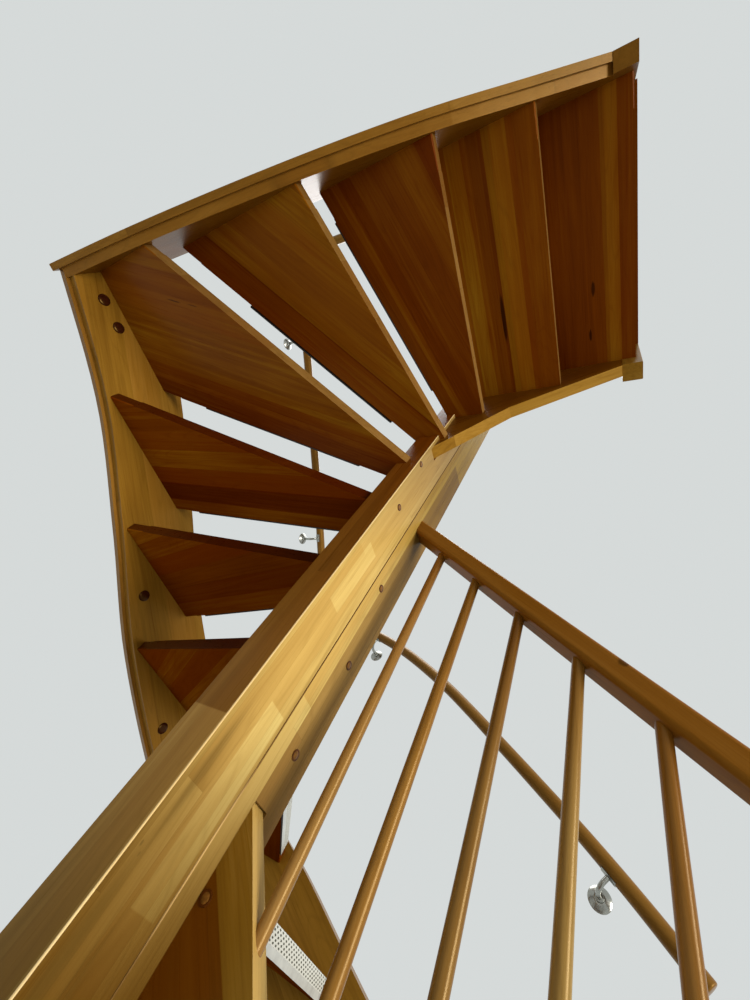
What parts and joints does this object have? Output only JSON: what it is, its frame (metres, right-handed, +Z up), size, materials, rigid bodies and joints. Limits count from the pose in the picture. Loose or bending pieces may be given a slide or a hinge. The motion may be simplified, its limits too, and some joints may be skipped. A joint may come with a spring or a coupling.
{
  "type": "half-turn winder staircase",
  "caption": "Varnished timber half-turn winder staircase with closed strings, open risers, a split newel, round balusters and a round handrail on the walls.",
  "frame": {"origin": "centre of the newel's foot, on the lower floor", "axes": "+Z up, +X along the upper flight as it climbs to the upper floor, +Y towards the wall of the lower flight"},
  "size_m": [1.6543, 1.82, 3.497],
  "materials": {
    "tread_wood": "gloss varnish",
    "string_wood": "gloss varnish",
    "post_wood": "gloss varnish",
    "rail_wood": "gloss varnish",
    "cap_brown": "satin",
    "mat_white": "satin",
    "satin_steel": "satin"
  },
  "bodies": {
    "root": {"newel_upper": "post_wood", "newel_lower": "post_wood", "outer_string_lower": "string_wood", "outer_string_side": "string_wood", "outer_string_upper": "string_wood", "wall_trim_lower": "string_wood", "wall_trim_side": "string_wood", "wall_trim_upper": "string_wood", "inner_string_lower": "string_wood", "inner_string_upper": "string_wood", "string_end_block": "string_wood", "tread_01": "tread_wood", "tread_02": "tread_wood", "tread_03": "tread_wood", "tread_04": "tread_wood", "tread_05": "tread_wood", "tread_06": "tread_wood", "tread_07": "tread_wood", "tread_08": "tread_wood", "tread_09": "tread_wood", "tread_10": "tread_wood", "tread_11": "tread_wood", "tread_12": "tread_wood", "tread_13": "tread_wood", "landing_board": "tread_wood", "start_post": "post_wood", "arrival_post": "post_wood", "handrail_lower": "rail_wood", "handrail_upper": "rail_wood", "balusters_lower": "rail_wood", "balusters_upper": "rail_wood", "wall_handrail_lower": "rail_wood", "wall_handrail_side": "rail_wood", "wall_handrail_upper": "rail_wood", "handrail_brackets": "satin_steel", "screw_caps": "cap_brown", "newel_plugs": "cap_brown", "stair_mats": "mat_white"}
  },
  "joints": []
}
